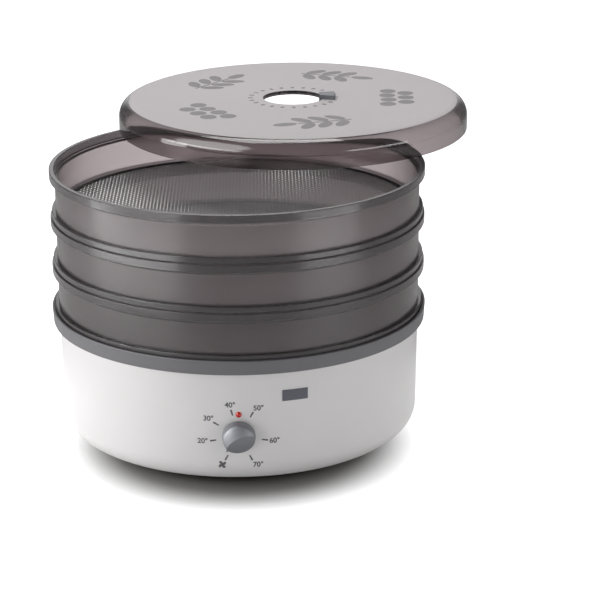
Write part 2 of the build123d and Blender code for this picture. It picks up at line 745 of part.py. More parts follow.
# Cord gland: a flanged bush in the rear wall with the lead's hole
gland_face = rear_r + GLAND_STAND
gland_inner = rear_r - HOUSING_WALL - GLAND_INNER_L
with BuildPart() as cord_gland:
    with BuildSketch(Plane.XZ.offset(-gland_inner)):
        with Locations((0, GLAND_Z)):
            Circle(GLAND_RAD)
            Circle(GLAND_BORE, mode=Mode.SUBTRACT)
    extrude(amount=-(gland_face - gland_inner))
    with BuildSketch(Plane.XZ.offset(-gland_face)):
        with Locations((0, GLAND_Z)):
            Circle(GLAND_FLANGE_RAD)
            Circle(GLAND_BORE, mode=Mode.SUBTRACT)
    extrude(amount=-GLAND_FLANGE_T)
save(cord_gland, "cord_gland")

# Terminal block: three screw terminals on the bottom plate behind the gland
block_y = opening_r - PLATE_LEDGE_W - BLOCK_EDGE - BLOCK_W / 2
with BuildPart() as terminal_block:
    with BuildSketch(Plane.XY.offset(plate_top)):
        with Locations((0, block_y)):
            Rectangle(BLOCK_L, BLOCK_W)
    extrude(amount=BLOCK_H)
    with BuildSketch(Plane.XY.offset(plate_top + BLOCK_H)):
        with Locations((0, block_y)):
            with GridLocations(TERMINAL_PITCH, 0, 3, 1):
                Circle(TERMINAL_RAD)
    extrude(amount=-TERMINAL_DEPTH, mode=Mode.SUBTRACT)
save(terminal_block, "terminal_block")

# Wiring: leads from the terminals to the thermostat and the motor's coil, and on to the cut-out
block_face = block_y - BLOCK_W / 2
wire_z = plate_top + WIRE_LIFT
stat_back_y = -(pad_face - STAT_T)
stat_lead_x = STAT_W / 4
coil_lead = (leg_x + LEG_W / 2, coil_w / 2, stator_z + STATOR_H + coil_t / 2)
cutout_face = duct_r + DUCT_T + CUTOUT_T
wire_routes = [
    [
        (-TERMINAL_PITCH, block_face, wire_z),
        (-TERMINAL_PITCH, block_face - WIRE_RUN, wire_z),
        (-WIRE_SIDE, block_face - WIRE_SIDE, wire_z),
        (-WIRE_SIDE, stat_back_y + WIRE_SIDE, wire_z),
        (-stat_lead_x, stat_back_y + WIRE_RUN, KNOB_Z),
        (-stat_lead_x, stat_back_y, KNOB_Z),
    ],
    [
        (TERMINAL_PITCH, block_face, wire_z),
        (TERMINAL_PITCH, block_face - WIRE_RUN, wire_z),
        (coil_lead[0], coil_lead[1] + WIRE_RUN, coil_lead[2]),
        coil_lead,
    ],
    [
        (stat_lead_x, stat_back_y, KNOB_Z),
        (stat_lead_x, stat_back_y + WIRE_RUN, KNOB_Z),
        (cutout_face + WIRE_RUN, -WIRE_SIDE, KNOB_Z),
        (cutout_face + WIRE_RUN, 0, cutout_z),
        (cutout_face, 0, cutout_z),
    ],
]
with BuildPart() as wiring:
    for route in wire_routes:
        start = Vector(*route[0])
        with BuildLine() as wire_line:
            FilletPolyline(*route, radius=WIRE_BEND)
        with BuildSketch(Plane(start, z_dir=Vector(*route[1]) - start)) as wire_section:
            Circle(WIRE_RAD)
        sweep(sections=wire_section.sketch, path=wire_line.wires()[0])
save(wiring, "wiring")

# Trays: ring, hoop and net of each, from the base upwards
ledge_r = tray_inner_r - LEDGE_W
hoop_r = tray_inner_r - HOOP_GAP
hoop_inner_r = hoop_r - HOOP_W
net_r = hoop_inner_r + NET_BITE
net_gap = NET_PITCH - NET_BAR
net_half = int(hoop_inner_r / NET_PITCH)
net_lines = [NET_PITCH * line for line in range(-net_half, net_half + 1)]
gap_reach = hoop_inner_r - net_gap / sqrt(2) - NET_BAR / 2
gap_places = [(x, y) for x in net_lines for y in net_lines if hypot(x, y) < gap_reach]
with BuildPart() as net_blank:
    with BuildSketch():
        Circle(net_r)
        with Locations(gap_places):
            Rectangle(net_gap, net_gap, mode=Mode.SUBTRACT)
    extrude(amount=NET_T)
print("gaps in each net:", len(gap_places))
collar_foot = TRAY_H - COLLAR_H
spigot_foot = SPIGOT_FLOAT - SOCKET_DEPTH
for number, seat_z in enumerate(tray_seats, start=1):
    with BuildPart() as tray_ring:
        with BuildSketch(Plane.XZ) as tray_profile:
            with BuildLine():
                Polyline(
                    (tray_inner_r, seat_z + spigot_foot),
                    (TRAY_WALL_R, seat_z + spigot_foot),
                    (TRAY_WALL_R, seat_z),
                    (bead_r, seat_z),
                    (bead_r, seat_z + BEAD_H),
                    (TRAY_WALL_R, seat_z + BEAD_H),
                    (TRAY_WALL_R, seat_z + collar_foot - COLLAR_SLOPE),
                    (collar_r, seat_z + collar_foot),
                    (collar_r, seat_z + TRAY_H),
                    (socket_r, seat_z + TRAY_H),
                    (socket_r, seat_z + TRAY_H - SOCKET_DEPTH),
                    (tray_inner_r, seat_z + TRAY_H - SOCKET_DEPTH),
                    (tray_inner_r, seat_z + LEDGE_Z),
                    (ledge_r, seat_z + LEDGE_Z),
                    (ledge_r, seat_z + LEDGE_Z - LEDGE_T),
                    (tray_inner_r, seat_z + LEDGE_Z - LEDGE_T),
                    close=True,
                )
            make_face()
            rim_corners = tray_profile.vertices().sort_by(Axis.Y)[-2:]
            bead_corners = tray_profile.vertices().group_by(Axis.X)[-2]
            fillet(rim_corners + bead_corners, RIM_ROUND)
        revolve(axis=Axis.Z)
    save(tray_ring, f"tray_{number}_ring")

    hoop_z = seat_z + LEDGE_Z
    net_z = hoop_z + (HOOP_H - NET_T) / 2
    with BuildPart() as tray_hoop:
        with BuildSketch(Plane.XZ):
            with BuildLine():
                Polyline(
                    (hoop_inner_r, hoop_z),
                    (hoop_r, hoop_z),
                    (hoop_r, hoop_z + HOOP_H),
                    (hoop_inner_r, hoop_z + HOOP_H),
                    (hoop_inner_r, net_z + NET_T),
                    (net_r, net_z + NET_T),
                    (net_r, net_z),
                    (hoop_inner_r, net_z),
                    close=True,
                )
            make_face()
        revolve(axis=Axis.Z)
    save(tray_hoop, f"tray_{number}_hoop")

    with BuildPart() as tray_net:
        with Locations((0, 0, net_z)):
            add(net_blank.part)
    save(tray_net, f"tray_{number}_net")

# Lid: top, rounded shoulder and skirt turned as one shell about its own axis
lid_plane = Plane((LID_X, LID_Y, lid_z), x_dir=(1, 0, 0), z_dir=(0, -1, 0))
lid_axis = Axis((LID_X, LID_Y, lid_z), (0, 0, 1))
lid_under = LID_H - LID_WALL
shoulder_r = lid_r - LID_ROUND
shoulder_z = LID_H - LID_ROUND
with BuildPart() as lid:
    with BuildSketch(lid_plane):
        with BuildLine():
            shoulder = CenterArc((shoulder_r, shoulder_z), LID_ROUND, 0, 90)
            under_shoulder = CenterArc((shoulder_r, shoulder_z), LID_ROUND - LID_WALL, 0, 90)
            Polyline(shoulder @ 0, (lid_r, 0), (lid_r - LID_WALL, 0), under_shoulder @ 0)
            Polyline(
                shoulder @ 1,
                (VENT_R, LID_H),
                (VENT_R, LID_H - VENT_LIP_H),
                (VENT_R + VENT_LIP_W, LID_H - VENT_LIP_H),
                (VENT_R + VENT_LIP_W, lid_under),
                under_shoulder @ 1,
            )
        make_face()
    revolve(axis=lid_axis)
save(lid, "lid")

# Time marker: a C-shaped clip over the vent's lip, a short sector turned about the lid's axis
marker_start = radians(MARKER_TURN - MARKER_ARC / 2)
marker_x = (cos(marker_start), sin(marker_start), 0)
marker_back = (sin(marker_start), -cos(marker_start), 0)
marker_plane = Plane((LID_X, LID_Y, lid_z), x_dir=marker_x, z_dir=marker_back)
web_r = VENT_R - MARKER_GAP
jaw_top = LID_H - VENT_LIP_H - MARKER_GAP
with BuildPart() as time_marker:
    with BuildSketch(marker_plane) as marker_profile:
        with BuildLine():
            Polyline(
                (web_r - MARKER_WEB, jaw_top - MARKER_JAW),
                (VENT_R + MARKER_JAW_REACH, jaw_top - MARKER_JAW),
                (VENT_R + MARKER_JAW_REACH, jaw_top),
                (web_r, jaw_top),
                (web_r, LID_H + MARKER_GAP),
                (VENT_R + MARKER_REACH, LID_H + MARKER_GAP),
                (VENT_R + MARKER_REACH, LID_H + MARKER_GAP + MARKER_H),
                (web_r - MARKER_WEB, LID_H + MARKER_GAP + MARKER_H),
                close=True,
            )
        make_face()
        fillet(marker_profile.vertices().sort_by(Axis.Y)[-2:], MARKER_ROUND)
    revolve(axis=lid_axis, revolution_arc=MARKER_ARC)
save(time_marker, "time_marker")
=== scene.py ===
from math import cos, pi, radians, sin

import bpy
import numpy as np
from mathutils import Matrix, Vector


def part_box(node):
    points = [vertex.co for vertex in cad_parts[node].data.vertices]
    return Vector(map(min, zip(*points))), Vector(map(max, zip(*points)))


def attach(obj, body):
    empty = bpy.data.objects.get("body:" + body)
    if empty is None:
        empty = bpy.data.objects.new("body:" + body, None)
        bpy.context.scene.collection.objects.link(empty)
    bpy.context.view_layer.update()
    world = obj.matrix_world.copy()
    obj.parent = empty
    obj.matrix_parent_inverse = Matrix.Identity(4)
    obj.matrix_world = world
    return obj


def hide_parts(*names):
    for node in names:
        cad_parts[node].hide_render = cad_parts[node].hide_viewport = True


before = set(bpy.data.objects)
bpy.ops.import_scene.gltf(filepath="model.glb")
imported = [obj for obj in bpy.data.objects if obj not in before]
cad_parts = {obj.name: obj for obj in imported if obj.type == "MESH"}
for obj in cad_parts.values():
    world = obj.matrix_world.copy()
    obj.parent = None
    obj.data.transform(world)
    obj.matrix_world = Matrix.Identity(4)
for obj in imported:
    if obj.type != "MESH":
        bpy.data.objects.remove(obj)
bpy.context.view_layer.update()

# Base housing
# The drum that everything stands in: white ABS, injection moulded in a finely etched tool.
# It is one shell, open below, with its rounded foot turned under to the bottom plate.
MM = 0.001


def linear(code):
    """A colour written as sRGB hex, as linear red, green and blue with full alpha."""
    parts = np.array([int(code[i:i + 2], 16) for i in (1, 3, 5)]) / 255
    curve = np.where(parts <= 0.04045, parts / 12.92, ((parts + 0.055) / 1.055) ** 2.4)
    return (*curve, 1.0)


def add(tree, kind, inputs=None, **settings):
    """Adds one node, makes its settings, and gives each named socket a value or a link."""
    node = tree.nodes.new("ShaderNode" + kind)
    for name, value in settings.items():
        setattr(node, name, value)
    for socket, value in (inputs or {}).items():
        if isinstance(value, bpy.types.NodeSocket):
            tree.links.new(value, node.inputs[socket])
        else:
            node.inputs[socket].default_value = value
    return node


def moulded(name, light, dark, rough, grit_mm, grit_depth_mm, **shader):
    """A moulded plastic: faint drift between two colours, gloss that wanders, and the tool's etched grit.
    Real grit is about a tenth of a millimetre wide, so it is drawn several times coarser, to show at all."""
    drift_mm = 40
    gloss_swing = 0.05
    material = bpy.data.materials.new(name)
    material.use_nodes = True
    tree = material.node_tree
    tree.nodes.clear()
    place = add(tree, "TexCoord").outputs["Object"]
    drift = add(tree, "TexNoise", {"Vector": place, "Scale": 1 / (drift_mm * MM), "Detail": 2.0})
    colour = add(tree, "Mix", {"Factor": drift.outputs["Fac"], "A": linear(dark), "B": linear(light)},
                 data_type="RGBA")
    grit = add(tree, "TexNoise", {"Vector": place, "Scale": 1 / (grit_mm * MM), "Detail": 3.0})
    gloss = add(tree, "MapRange", {
        "Value": grit.outputs["Fac"],
        "To Min": rough - gloss_swing,
        "To Max": rough + gloss_swing,
    })
    bump = add(tree, "Bump", {"Height": grit.outputs["Fac"], "Distance": grit_depth_mm * MM, "Strength": 1.0})
    surface = add(tree, "BsdfPrincipled", {
        "Base Color": colour.outputs["Result"],
        "Roughness": gloss.outputs["Result"],
        "Normal": bump.outputs["Normal"],
        **shader,
    })
    add(tree, "OutputMaterial", {"Surface": surface.outputs["BSDF"]})
    return material


def dress(material, *nodes):
    """Gives carried-over nodes a material in place of their own."""
    for node in nodes:
        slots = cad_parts[node].data.materials
        slots.clear()
        slots.append(material)


# Etched ABS: an even white whose lights spread wide, with no sharp mirror image.
white_abs = moulded("white_abs_etched", "#e6e4e4", "#e1dfdf",
                    rough=0.38, grit_mm=0.8, grit_depth_mm=0.012, IOR=1.53)
dress(white_abs, "base_housing")

# Bottom plate, feet and their screws
# A dark ABS plate with intake slots closes the drum from below, on four zinc-plated screws.
# Four rubber feet are pulled through it by their barbs and lift the slots off the table.


def plated(name, light, dark, rough, brush_mm):
    """A drawn or plated metal: fine streaks along one way that spread its gloss, over a patchy tone.
    Real streaks are finer than a pixel, so they are drawn coarse enough to show."""
    stretch = 12
    gloss_swing = 0.08
    material = bpy.data.materials.new(name)
    material.use_nodes = True
    tree = material.node_tree
    tree.nodes.clear()
    place = add(tree, "TexCoord").outputs["Object"]
    along = add(tree, "Mapping", {"Vector": place, "Scale": (1.0, 1.0, 1 / stretch)})
    streak = add(tree, "TexNoise", {
        "Vector": along.outputs["Vector"],
        "Scale": 1 / (brush_mm * MM),
        "Detail": 3.0,
    })
    colour = add(tree, "Mix", {"Factor": streak.outputs["Fac"], "A": linear(dark), "B": linear(light)},
                 data_type="RGBA")
    gloss = add(tree, "MapRange", {
        "Value": streak.outputs["Fac"],
        "To Min": rough - gloss_swing,
        "To Max": rough + gloss_swing,
    })
    surface = add(tree, "BsdfPrincipled", {
        "Base Color": colour.outputs["Result"],
        "Roughness": gloss.outputs["Result"],
        "Metallic": 1.0,
    })
    add(tree, "OutputMaterial", {"Surface": surface.outputs["BSDF"]})
    return material


# Moulded ABS: near black, with a dull, broad sheen.
dark_abs = moulded("dark_abs_moulded", "#2b2b2d", "#232325",
                   rough=0.5, grit_mm=0.8, grit_depth_mm=0.02, IOR=1.53)
# Rubber: black and almost without shine.
rubber = moulded("moulded_rubber", "#1f1f20", "#18181a",
                 rough=0.75, grit_mm=0.6, grit_depth_mm=0.03, IOR=1.52)
# Zinc plate: a pale grey metal with soft, slightly streaky lights.
zinc_steel = plated("zinc_plated_steel", "#c4c5c8", "#a9aaae", rough=0.36, brush_mm=0.5)
dress(dark_abs, "bottom_plate")
dress(rubber, "rubber_feet")
dress(zinc_steel, "bottom_screws")

# Fan motor
# A shaded-pole motor: a stack of steel plates with one enamelled copper coil, two bridges with
# sintered bronze bushes, and a rotor on a steel shaft. Two long screws hold it to the plate's posts.

# Sintered bronze: brown and dull, from its open grain.
sintered_bronze = plated("sintered_bronze", "#a9825a", "#8d6a47", rough=0.45, brush_mm=0.3)
# Enamelled copper: warm and glossy, as if wet.
copper_wire = plated("enamelled_copper", "#b4683f", "#95502c", rough=0.32, brush_mm=0.4)
dress(zinc_steel, "motor_bridge_lower", "motor_bridge_upper", "motor_stator", "motor_screws")
dress(zinc_steel, "motor_rotor", "motor_shaft", "fan_clip")
dress(sintered_bronze, "motor_bearings")
dress(copper_wire, "motor_coil")

# Fan, duct and heater
# A moulded fan blows up through an aluminium sleeve, past a ring of sheathed heating element on clips.
# A cut-out on the sleeve's side opens if the air stops.

# Rolled aluminium: bright and faintly streaked along the roll.
sheet_aluminium = plated("rolled_sheet_aluminium", "#d3d5d8", "#c2c4c8", rough=0.34, brush_mm=0.6)
# Heated sheath: steel that has turned brown-grey, with little shine left.
heater_steel = plated("blued_heater_sheath", "#6d6763", "#57524f", rough=0.42, brush_mm=0.4)
dress(dark_abs, "fan_impeller", "thermal_cutout")
dress(sheet_aluminium, "air_duct")
dress(heater_steel, "heater_element")
dress(zinc_steel, "heater_clips")

# Thermostat, terminals and leads
# A boxed switch clamped in the front wall by its nut, with a bulb on a thin bronze tube.
# A white terminal block behind the rear gland feeds it and the motor through insulated leads.

# Soft PVC: an even mid grey with a waxy sheen.
lead_insulation = moulded("pvc_lead_insulation", "#77787c", "#6b6c70",
                          rough=0.45, grit_mm=1.0, grit_depth_mm=0.01, IOR=1.52)
dress(dark_abs, "thermostat_body", "lamp_holder")
dress(zinc_steel, "thermostat_nut", "thermostat_spindle")
dress(sintered_bronze, "thermostat_probe")
dress(white_abs, "terminal_block")
dress(rubber, "cord_gland")
dress(lead_insulation, "wiring")

# Dial print
# Pad-printed grey ink round the knob: seven strokes, the temperatures in degrees, and a small fan sign.
# The ink is a thin raised film that follows the drum, whose wall is a slightly tapered cone.
DRUM_TOP_R, DRUM_TOP_Z = 160.0, 104.6
DRUM_FOOT_R, DRUM_FOOT_Z = 158.8, 21.5
KNOB_Z = 46.8
INK_SUNK, INK_PROUD = 0.06, 0.10


def on_drum(flat):
    """Wraps flat points round the drum: across becomes an angle, up stays up, out is added to the radius."""
    across, up, out = flat.T
    share = (up - DRUM_FOOT_Z) / (DRUM_TOP_Z - DRUM_FOOT_Z)
    radius = DRUM_FOOT_R + (DRUM_TOP_R - DRUM_FOOT_R) * share
    angle = across / radius
    return np.stack([(radius + out) * np.sin(angle), -(radius + out) * np.cos(angle), up], 1) * MM


def prism(outline, low, high):
    """A closed slab: the outline at a low and a high level, joined by a band of quads round its edge."""
    outline = np.asarray(outline, float)
    count = len(outline)
    points = np.vstack([np.column_stack([outline, np.full(count, z)]) for z in (low, high)])
    turn = np.arange(count)
    after = (turn + 1) % count
    band = np.column_stack([turn, after, after + count, turn + count]).tolist()
    return points, [turn[::-1].tolist(), (turn + count).tolist(), *band]


def gather(shapes):
    """Joins several (points, faces) into one, with the faces' numbers moved on."""
    points, faces, start = [], [], 0
    for some_points, some_faces in shapes:
        points.append(some_points)
        faces += [[number + start for number in face] for face in some_faces]
        start += len(some_points)
    return np.vstack(points), faces


def piece(name, points, faces, material, body):
    """Makes a mesh object from points in metres, gives it its material and lets it ride on a body."""
    mesh = bpy.data.meshes.new(name)
    mesh.from_pydata(points.tolist(), [], faces if isinstance(faces, list) else faces.tolist())
    mesh.materials.append(material)
    made = bpy.data.objects.new(name, mesh)
    bpy.context.scene.collection.objects.link(made)
    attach(made, body)
    return made


def turned(outline, turn, centre):
    """A flat outline turned clockwise by an angle in degrees and moved to a centre."""
    angle = radians(turn)
    spin = np.array([[cos(angle), -sin(angle)], [sin(angle), cos(angle)]])
    return np.asarray(outline, float) @ spin + np.asarray(centre, float)


def figure(words, height):
    """A word in the plain built-in face, thickened a little, as closed slabs centred on the origin."""
    capital_share = 0.7
    thicken_share = 0.03
    curve = bpy.data.curves.new("figure", "FONT")
    curve.body = words
    curve.size = height / capital_share
    curve.align_x = "CENTER"
    curve.align_y = "CENTER"
    curve.offset = thicken_share * height
    curve.extrude = (INK_SUNK + INK_PROUD) / 2
    holder = bpy.data.objects.new("figure", curve)
    mesh = bpy.data.meshes.new_from_object(holder)
    points = np.empty(len(mesh.vertices) * 3)
    mesh.vertices.foreach_get("co", points)
    points = points.reshape(-1, 3) + (0, 0, (INK_PROUD - INK_SUNK) / 2)
    faces = [list(face.vertices) for face in mesh.polygons]
    bpy.data.objects.remove(holder)
    bpy.data.meshes.remove(mesh)
    return points, faces


def dial_place(turn, reach):
    """The flat place at an angle clockwise from the top and a reach from the knob's axis."""
    return reach * sin(radians(turn)), KNOB_Z + reach * cos(radians(turn))


STROKE_IN, STROKE_OUT = 19.5, 24.8
STROKE_W, STROKE_TAPER = 1.5, 1.3
STROKE_TURNS = (259.3, 300.1, 344.9, 29.6, 100.4, 153.2, 208.6)
inner_w = STROKE_W / STROKE_TAPER
stroke = [
    (-inner_w / 2, STROKE_IN),
    (inner_w / 2, STROKE_IN),
    (STROKE_W / 2, STROKE_OUT),
    (-STROKE_W / 2, STROKE_OUT),
]
dial_shapes = [prism(turned(stroke, turn, (0, KNOB_Z)), -INK_SUNK, INK_PROUD) for turn in STROKE_TURNS]
FIGURE_H = 4.5
FIGURES = {
    20: (260.6, 31.2),
    30: (301.3, 29.9),
    40: (345.8, 28.9),
    50: (33.9, 30.0),
    60: (100.0, 30.6),
    70: (148.6, 30.8),
}
for degrees, place in FIGURES.items():
    points, faces = figure(f"{degrees}°", FIGURE_H)
    dial_shapes.append((points + (*dial_place(*place), 0), faces))
FAN_SIGN = (209.0, 29.6)
BLADE_L, BLADE_W, BLADE_BACK = 3.8, 3.4, 0.4
BLADE_STEPS = 9
bow = np.linspace(0, pi, BLADE_STEPS)
front_edge = np.column_stack([np.sin(bow) * BLADE_W / 2, (1 - np.cos(bow)) * BLADE_L / 2])
blade = np.vstack([front_edge, front_edge[-2:0:-1] * (-BLADE_BACK, 1)])
for turn in (45, 135, 225, 315):
    dial_shapes.append(prism(turned(blade, turn, dial_place(*FAN_SIGN)), -INK_SUNK, INK_PROUD))
# Pad-printed ink: flat mid grey, a little duller than the wall round it.
grey_ink = moulded("pad_printed_ink", "#5f5f63", "#58585c",
                   rough=0.55, grit_mm=0.5, grit_depth_mm=0.004, IOR=1.5)
points, faces = gather(dial_shapes)
piece("dial_print", on_drum(points), faces, grey_ink, "base")

# Badge plate
# A small oblong plate of dark plastic, glued to the drum right of the dial and bent to its wall.
# It is bare.
BADGE_TURN = 17.25
BADGE_W, BADGE_H, BADGE_T = 22.3, 9.7, 0.5
BADGE_Z = 81.4
BADGE_STEPS = 13
badge_mid = radians(BADGE_TURN) * DRUM_TOP_R
across = badge_mid + np.linspace(-BADGE_W / 2, BADGE_W / 2, BADGE_STEPS)
low_edge = np.column_stack([across, np.full(BADGE_STEPS, BADGE_Z - BADGE_H / 2)])
high_edge = np.column_stack([across[::-1], np.full(BADGE_STEPS, BADGE_Z + BADGE_H / 2)])
points, faces = prism(np.vstack([low_edge, high_edge]), -INK_SUNK, BADGE_T)
# Satin plastic: a bluish dark grey with a soft sheen.
badge_plastic = moulded("satin_badge_plate", "#5a5c66", "#53555f",
                        rough=0.4, grit_mm=0.4, grit_depth_mm=0.006, IOR=1.5)
piece("badge_plate", on_drum(points), faces, badge_plastic, "base")

# Lamp and knob
# A clear red lens pressed through the wall, and a silver-lacquered knob with one slanting facet
# pushed on the thermostat's flatted spindle.

# Red polycarbonate: a saturated, glossy bead with a sharp small highlight.
red_lens = moulded("red_polycarbonate_lens", "#d8281c", "#c41f14",
                   rough=0.15, grit_mm=0.5, grit_depth_mm=0.002, IOR=1.58)
# Silver lacquer: metal flake under clear coat, so its planes differ in tone and its lights are soft.
silver_lacquer = moulded("silver_lacquered_abs", "#989a9f", "#8d8f94",
                         rough=0.5, grit_mm=0.35, grit_depth_mm=0.004, IOR=1.5, Metallic=0.6)
dress(red_lens, "lamp_lens")
dress(silver_lacquer, "control_knob")

# Rim ring and deck
# A grey ABS ring clips over the drum's top edge and seats the first tray. The slotted deck lies on its
# ledge over the fan, and four screws run through both into the drum's posts.

# Etched ABS: a plain mid grey, softly lit, with a faint sheen along the ring.
grey_abs = moulded("grey_abs_etched", "#6a696c", "#636265",
                   rough=0.42, grit_mm=0.8, grit_depth_mm=0.015, IOR=1.53)
dress(grey_abs, "base_rim_ring", "deck_grille")
dress(zinc_steel, "deck_screws")

# Trays
# Each tray is a ring of smoke-tinted SAN with an etched satin wall, so that what stands behind it shows
# as a soft shade, and a thick, smooth collar and bead. A flat hoop on its ledge carries the wire screen.


def dyed(material, tint, density):
    """Gives a clear plastic its smoke: dye that takes light along the way through, so edges look darkest."""
    tree = material.node_tree
    dye = add(tree, "VolumeAbsorption", {"Color": linear(tint), "Density": density})
    tree.links.new(dye.outputs["Volume"], tree.nodes["Material Output"].inputs["Volume"])


# Satin smoke SAN: a hazy, pinkish grey wall that lets shades through, under a darker and glossier collar.
# The wall's finish ends and the collar's begins between two radii.
WALL_END_R, COLLAR_R = 160.4, 160.8
WALL_CLEAR, COLLAR_CLEAR = 0.95, 0.8
COLLAR_TONE, COLLAR_ROUGH = "#8f898c", 0.2
smoke_satin = moulded("smoke_san_satin", "#cac0c2", "#c4babc",
                      rough=0.3, grit_mm=0.5, grit_depth_mm=0.003, IOR=1.57)
dyed(smoke_satin, "#b6afb0", 300.0)
tree = smoke_satin.node_tree
surface = tree.nodes["Principled BSDF"]
place = tree.nodes["Texture Coordinate"].outputs["Object"]
level_place = add(tree, "VectorMath", {0: place, 1: (1, 1, 0)}, operation="MULTIPLY")
reach = add(tree, "VectorMath", {0: level_place.outputs[0]}, operation="LENGTH")
collar = add(tree, "MapRange", {
    "Value": reach.outputs["Value"],
    "From Min": WALL_END_R * MM,
    "From Max": COLLAR_R * MM,
}).outputs["Result"]
collar_finish = (("Base Color", "RGBA", linear(COLLAR_TONE)), ("Roughness", "FLOAT", COLLAR_ROUGH))
for socket, kind, smooth in collar_finish:
    wall = surface.inputs[socket].links[0].from_socket
    blend = add(tree, "Mix", {"Factor": collar, "A": wall, "B": smooth}, data_type=kind)
    tree.links.new(blend.outputs["Result"], surface.inputs[socket])
clear = add(tree, "MapRange", {"Value": collar, "To Min": WALL_CLEAR, "To Max": COLLAR_CLEAR})
tree.links.new(clear.outputs["Result"], surface.inputs["Transmission Weight"])
dress(smoke_satin, "tray_1_ring", "tray_2_ring", "tray_3_ring")
dress(dark_abs, "tray_1_hoop", "tray_2_hoop", "tray_3_hoop")

# Wire screens
# Stainless wire in plain weave, clamped in the hoop's groove. Each wire runs over and under its
# neighbours, so at every crossing one lies on top and the other below.
WIRE_PITCH = 3.1
WIRE_D = 1.0
WIRE_SIDES = 4


def woven(centre_z, reach):
    """Plain weave in a circle: wires of both ways on one pitch, each a tube whose height at crossing
    number n along wire number m is plus or minus half a wire, by the parity of n + m. Points past the
    circle are drawn back to its edge, the stretches that this leaves without length are dropped, and the
    first and last ring that are left close the tube, which takes four sides."""
    least = 1e-6
    half = int(reach / WIRE_PITCH)
    number = np.arange(-half - 1, half + 2)
    wire = number[1:-1]
    offset = wire * WIRE_PITCH
    end = np.sqrt(reach ** 2 - offset ** 2)[:, None]
    along = np.clip(number * WIRE_PITCH, -end, end)
    height = np.where((wire[:, None] + number) % 2, 0.5, -0.5) * WIRE_D
    angle = (np.arange(WIRE_SIDES) + 0.5) * 2 * pi / WIRE_SIDES
    beside = np.cos(angle) * WIRE_D / 2
    above = np.sin(angle) * WIRE_D / 2
    one_way = np.stack(np.broadcast_arrays(
        along[:, :, None],
        offset[:, None, None] + beside,
        centre_z + height[:, :, None] + above,
    ), -1)
    other_way = np.stack(np.broadcast_arrays(
        offset[:, None, None] + beside,
        along[:, :, None],
        centre_z - height[:, :, None] + above,
    ), -1)
    rows, columns = along.shape
    index = np.arange(rows * columns * WIRE_SIDES).reshape(rows, columns, WIRE_SIDES)
    ahead = np.roll(index, -1, axis=2)
    sides = np.stack([index[:, :-1], ahead[:, :-1], ahead[:, 1:], index[:, 1:]], -1)
    kept = np.diff(along, axis=1) > least
    row = np.arange(rows)
    first_ring = index[row, kept.argmax(axis=1)]
    last_ring = index[row, columns - 1 - kept[:, ::-1].argmax(axis=1)]
    faces = np.vstack([sides[kept].reshape(-1, 4), first_ring[:, ::-1], last_ring])
    points = np.vstack([one_way.reshape(-1, 3), other_way.reshape(-1, 3)])
    return points, np.vstack([faces, faces[:, ::-1] + index.size])


# Stainless wire: pale, with a soft glint along every bend.
stainless_wire = plated("stainless_wire", "#dcdcdc", "#cacaca", rough=0.42, brush_mm=0.4)
for number in (1, 2, 3):
    tray = f"tray_{number}"
    low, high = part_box(f"tray_{number}_net")
    points, faces = woven((low.z + high.z) / 2 / MM, high.x / MM)
    screen = piece(f"{tray}_wire_screen", points * MM, faces, stainless_wire, tray)
    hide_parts(f"tray_{number}_net")

# Lid
# A shallow cap of the same smoke SAN with a vent hole in the middle: satin on its flat top, polished
# elsewhere. It stands on the top tray's rim and is here slid back and to the right.
lid_low, lid_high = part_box("lid")
LID_X = (lid_low.x + lid_high.x) / 2 / MM
LID_Y = (lid_low.y + lid_high.y) / 2 / MM
LID_TOP = lid_high.z / MM
VENT_R, VENT_EDGE = 28.0, 0.3
VENT_PAINTED_SHADE = "#3a3638"
SATIN_DEPTH, SATIN_BLEND = 0.9, 0.35
POLISHED_ROUGH, SATIN_ROUGH = 0.07, 0.5
POLISHED_CLEAR, SATIN_CLEAR = 1.0, 0.35
# Polished smoke SAN: clear, with sharp lights, dark where the way through it is long. Its satin top scatters
# light to a pale grey. A painted shade turns the colour nearly black at the vent's cut edge.
smoke_clear = moulded("smoke_san_polished", "#e6dfe1", "#e2dbdd",
                      rough=POLISHED_ROUGH, grit_mm=0.5, grit_depth_mm=0.0005, IOR=1.57)
dyed(smoke_clear, "#b6afb0", 850.0)
tree = smoke_clear.node_tree
surface = tree.nodes["Principled BSDF"]
place = tree.nodes["Texture Coordinate"].outputs["Object"]
from_axis = add(tree, "VectorMath", {0: place, 1: (LID_X * MM, LID_Y * MM, 0)}, operation="SUBTRACT")
height = add(tree, "SeparateXYZ", {"Vector": from_axis.outputs[0]}).outputs["Z"]
satin_from = LID_TOP - SATIN_DEPTH
lid_finish = (
    ("Roughness", POLISHED_ROUGH, SATIN_ROUGH),
    ("Transmission Weight", POLISHED_CLEAR, SATIN_CLEAR),
)
for socket, polished, satin in lid_finish:
    blend = add(tree, "MapRange", {
        "Value": height,
        "From Min": satin_from * MM,
        "From Max": (satin_from + SATIN_BLEND) * MM,
        "To Min": polished,
        "To Max": satin,
    })
    tree.links.new(blend.outputs["Result"], surface.inputs[socket])
level_place = add(tree, "VectorMath", {0: from_axis.outputs[0], 1: (1, 1, 0)}, operation="MULTIPLY")
reach = add(tree, "VectorMath", {0: level_place.outputs[0]}, operation="LENGTH")
# Painted shade: inside the vent's radius the lid's colour turns nearly black, for the dark look of its thick
# cut edge.
past_edge = add(tree, "MapRange", {
    "Value": reach.outputs["Value"],
    "From Min": VENT_R * MM,
    "From Max": (VENT_R + VENT_EDGE) * MM,
})
tone = surface.inputs["Base Color"].links[0].from_socket
colour = add(tree, "Mix", {"Factor": past_edge.outputs["Result"], "A": linear(VENT_PAINTED_SHADE), "B": tone},
             data_type="RGBA")
tree.links.new(colour.outputs["Result"], surface.inputs["Base Color"])
dress(smoke_clear, "lid")

# Lid print
# Grey screen print on the lid's top: a ring of dashes round the vent, and five plain motifs, which are
# sprigs of leaves and clusters of discs. The ink is a thin raised film.


